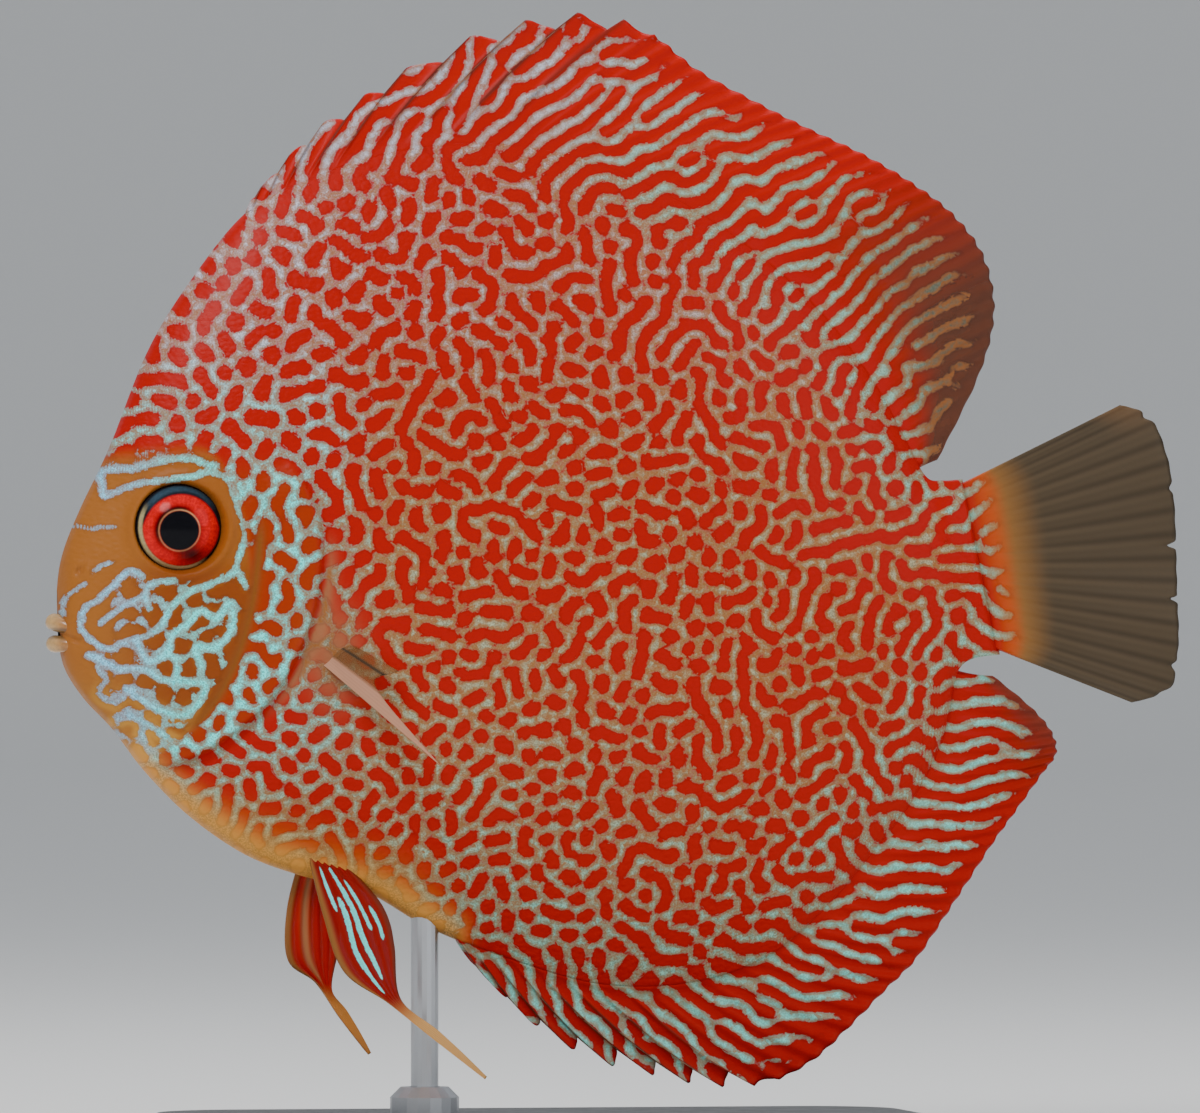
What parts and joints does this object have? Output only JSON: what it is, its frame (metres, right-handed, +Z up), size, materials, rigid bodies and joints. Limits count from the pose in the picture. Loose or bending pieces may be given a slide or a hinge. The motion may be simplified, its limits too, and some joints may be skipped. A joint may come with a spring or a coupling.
{
  "type": "discus fish model",
  "caption": "Life-size discus fish, a tall thin disc with long fins above and below, red labyrinth markings on pale turquoise, held by a rod on a flat base.",
  "frame": {"origin": "on the floor, at the middle of the model's length, depth and width in plan, under the body", "axes": "+X towards the tail, +Y towards the fish's right side, +Z up; the fish faces -X"},
  "size_m": [0.1681, 0.066, 0.1661],
  "materials": {
    "skin": "moist satin skin, red labyrinth on pale turquoise",
    "fin": "thin ribbed sheet, red with turquoise stripes",
    "clear_fin": "thin smoky half-clear ribbed sheet",
    "lip": "moist smooth",
    "eye": "clear dome over a red iris and black pupil",
    "stand_plate": "fine satin",
    "stand_metal": "fine satin"
  },
  "bodies": {
    "root": {"head": "skin", "trunk": "skin", "tail_stem": "skin", "gill_cover_left": "skin", "gill_cover_right": "skin", "lip_upper": "lip", "lip_lower": "lip", "eye_left": "eye", "eye_right": "eye", "dorsal_fin_spines": "fin", "dorsal_fin_rays": "fin", "anal_fin_spines": "fin", "anal_fin_rays": "fin", "tail_fin": "clear_fin", "pectoral_fin_left": "clear_fin", "pectoral_fin_right": "clear_fin", "pelvic_fin_left": "fin", "pelvic_fin_right": "fin", "stand_base": "stand_plate", "stand_collar": "stand_metal", "stand_rod": "stand_metal"}
  },
  "joints": []
}
